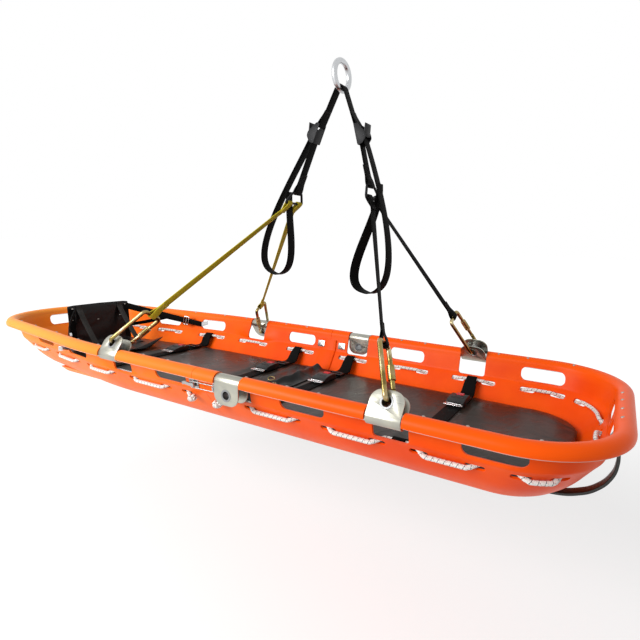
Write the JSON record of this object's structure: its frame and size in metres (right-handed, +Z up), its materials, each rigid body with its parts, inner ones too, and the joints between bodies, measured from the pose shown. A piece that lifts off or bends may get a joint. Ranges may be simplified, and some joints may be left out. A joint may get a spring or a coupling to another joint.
{
  "type": "basket stretcher",
  "caption": "Two-piece moulded rescue basket with a steel rim tube, laced grab rope, mattress, patient belts, foot rest and a webbing lifting bridle hung from a ring.",
  "frame": {"origin": "the seat of the master ring, where a hoist hook bears", "axes": "+X to the head end, +Y to the side away from the viewer, +Z up"},
  "size_m": [2.0554, 0.6487, 0.9231],
  "materials": {
    "orange_shell_head": "satin moulded polyethylene",
    "orange_shell_foot": "satin moulded polyethylene",
    "steel_tube": "drawn stainless tube",
    "vinyl": "glossy coated cloth over foam",
    "white_rope": "laid cord with coloured flecks",
    "black_metal": "black powder coat",
    "zinc_plate": "zinc plated",
    "gold_steel": "yellow passivated zinc",
    "bright_steel": "bright stainless",
    "yellow_webbing": "woven webbing",
    "black_webbing": "woven webbing",
    "black_plastic": "fine grained",
    "red_plastic": "glossy",
    "black_panel": "coated board"
  },
  "bodies": {
    "basket": {"head_shell": "orange_shell_head", "foot_shell": "orange_shell_foot", "head_rim_tube": "steel_tube", "foot_rim_tube": "steel_tube", "head_mattress": "vinyl", "foot_mattress": "vinyl", "head_rope": "white_rope", "foot_rope": "white_rope", "head_skid": "black_metal", "bracket_foot_near": "zinc_plate", "bracket_foot_far": "zinc_plate", "bracket_head_near": "zinc_plate", "bracket_head_far": "zinc_plate", "carabiner_foot_near": "gold_steel", "carabiner_foot_far": "gold_steel", "carabiner_head_near": "gold_steel", "carabiner_head_far": "gold_steel", "leg_foot_near": "yellow_webbing", "leg_foot_far": "yellow_webbing", "leg_head_near": "black_webbing", "leg_head_far": "black_webbing", "master_ring": "bright_steel", "master_strap": "black_webbing", "foot_main_strap": "black_webbing", "head_main_strap": "black_webbing", "foot_link": "black_metal", "head_link": "black_metal", "foot_cam_buckle_frame": "black_metal", "head_cam_buckle_frame": "black_metal", "belt_1": "black_webbing", "belt_2": "black_webbing", "belt_3": "black_webbing", "belt_4": "black_webbing", "belt_1_buckle": "black_plastic", "belt_2_buckle": "black_plastic", "belt_3_buckle": "black_plastic", "belt_4_buckle": "black_plastic", "latch_near_base": "bright_steel", "latch_near_keeper": "bright_steel", "latch_far_base": "bright_steel", "latch_far_keeper": "bright_steel", "foot_rest_strap_near": "black_webbing", "foot_rest_strap_far": "black_webbing"},
    "centre_bracket_near": {"bracket_centre_near": "zinc_plate"},
    "centre_bracket_far": {"bracket_centre_far": "zinc_plate"},
    "gate_foot_near": {"carabiner_foot_near_gate": "gold_steel"},
    "gate_foot_far": {"carabiner_foot_far_gate": "gold_steel"},
    "gate_head_near": {"carabiner_head_near_gate": "gold_steel"},
    "gate_head_far": {"carabiner_head_far_gate": "gold_steel"},
    "cam_lever_foot": {"foot_cam_buckle_lever": "black_metal"},
    "cam_lever_head": {"head_cam_buckle_lever": "black_metal"},
    "button_1": {"belt_1_button": "red_plastic"},
    "button_2": {"belt_2_button": "red_plastic"},
    "button_3": {"belt_3_button": "red_plastic"},
    "button_4": {"belt_4_button": "red_plastic"},
    "near_latch_lever": {"latch_near_lever": "bright_steel"},
    "far_latch_lever": {"latch_far_lever": "bright_steel"},
    "near_latch_bail": {"latch_near_bail": "bright_steel"},
    "far_latch_bail": {"latch_far_bail": "bright_steel"},
    "foot_rest_panel": {"foot_rest": "black_panel"}
  },
  "joints": [
    {"name": "centre_bracket_near_swing", "type": "hinge", "parent": "basket", "child": "centre_bracket_near", "pos_m": [-0.0865, -0.295, -0.7], "axis": [-1, 0, 0], "range_deg": [0, 180]},
    {"name": "centre_bracket_far_swing", "type": "hinge", "parent": "basket", "child": "centre_bracket_far", "pos_m": [-0.0865, 0.295, -0.7], "axis": [1, 0, 0], "range_deg": [0, 180]},
    {"name": "gate_foot_near_open", "type": "hinge", "parent": "basket", "child": "gate_foot_near", "pos_m": [-0.4961, -0.24131, -0.66555], "axis": [0.7828, -0.3413, -0.5203], "range_deg": [0, 20], "stiffness_Nm_per_rad": 0.15, "springref_deg": -17.19},
    {"name": "gate_foot_far_open", "type": "hinge", "parent": "basket", "child": "gate_foot_far", "pos_m": [-0.50725, 0.26766, -0.70572], "axis": [-0.9522, -0.1676, 0.2554], "range_deg": [0, 20], "stiffness_Nm_per_rad": 0.15, "springref_deg": -17.19},
    {"name": "gate_head_near_open", "type": "hinge", "parent": "basket", "child": "gate_head_near", "pos_m": [0.28733, -0.23913, -0.66074], "axis": [0.9215, 0.2088, 0.3275], "range_deg": [0, 20], "stiffness_Nm_per_rad": 0.15, "springref_deg": -17.19},
    {"name": "gate_head_far_open", "type": "hinge", "parent": "basket", "child": "gate_head_far", "pos_m": [0.28733, 0.28298, -0.63279], "axis": [0.9215, -0.2088, 0.3275], "range_deg": [0, 20], "stiffness_Nm_per_rad": 0.15, "springref_deg": -17.19},
    {"name": "cam_lever_foot_open", "type": "hinge", "parent": "basket", "child": "cam_lever_foot", "pos_m": [-0.08732, 0, -0.1068], "axis": [0, -1, 0], "range_deg": [0, 35], "stiffness_Nm_per_rad": 0.2, "springref_deg": -17.19},
    {"name": "cam_lever_head_open", "type": "hinge", "parent": "basket", "child": "cam_lever_head", "pos_m": [0.07601, 0, -0.12143], "axis": [0, 1, 0], "range_deg": [0, 35], "stiffness_Nm_per_rad": 0.2, "springref_deg": -17.19},
    {"name": "button_1_press", "type": "slide", "parent": "basket", "child": "button_1", "axis": [0, 0, -1], "range_m": [0, 0.003], "stiffness_N_per_m": 400, "springref_m": -0.001},
    {"name": "button_2_press", "type": "slide", "parent": "basket", "child": "button_2", "axis": [0, 0, -1], "range_m": [0, 0.003], "stiffness_N_per_m": 400, "springref_m": -0.001},
    {"name": "button_3_press", "type": "slide", "parent": "basket", "child": "button_3", "axis": [0, 0, -1], "range_m": [0, 0.003], "stiffness_N_per_m": 400, "springref_m": -0.001},
    {"name": "button_4_press", "type": "slide", "parent": "basket", "child": "button_4", "axis": [0, 0, -1], "range_m": [0, 0.003], "stiffness_N_per_m": 400, "springref_m": -0.001},
    {"name": "near_latch_lever_swing", "type": "hinge", "parent": "basket", "child": "near_latch_lever", "pos_m": [-0.223, -0.28327, -0.73273], "axis": [0, -0.2036, 0.9791], "range_deg": [0, 100]},
    {"name": "far_latch_lever_swing", "type": "hinge", "parent": "basket", "child": "far_latch_lever", "pos_m": [-0.223, 0.28327, -0.73273], "axis": [0, -0.2036, -0.9791], "range_deg": [0, 100]},
    {"name": "near_latch_bail_swing", "type": "hinge", "parent": "near_latch_lever", "child": "near_latch_bail", "pos_m": [-0.231, -0.28327, -0.73273], "axis": [0, -0.2036, 0.9791], "range_deg": [-95, 0]},
    {"name": "far_latch_bail_swing", "type": "hinge", "parent": "far_latch_lever", "child": "far_latch_bail", "pos_m": [-0.231, 0.28327, -0.73273], "axis": [0, -0.2036, -0.9791], "range_deg": [-95, 0]},
    {"name": "foot_rest_slide", "type": "slide", "parent": "basket", "child": "foot_rest_panel", "axis": [-1, 0, 0], "range_m": [0, 0.1], "deforming": ["foot_rest_strap_near", "foot_rest_strap_far"]}
  ],
  "couplings": [
    {"joint": "near_latch_bail_swing", "follows": "near_latch_lever_swing", "ratio": -0.935},
    {"joint": "far_latch_bail_swing", "follows": "far_latch_lever_swing", "ratio": -0.935}
  ]
}
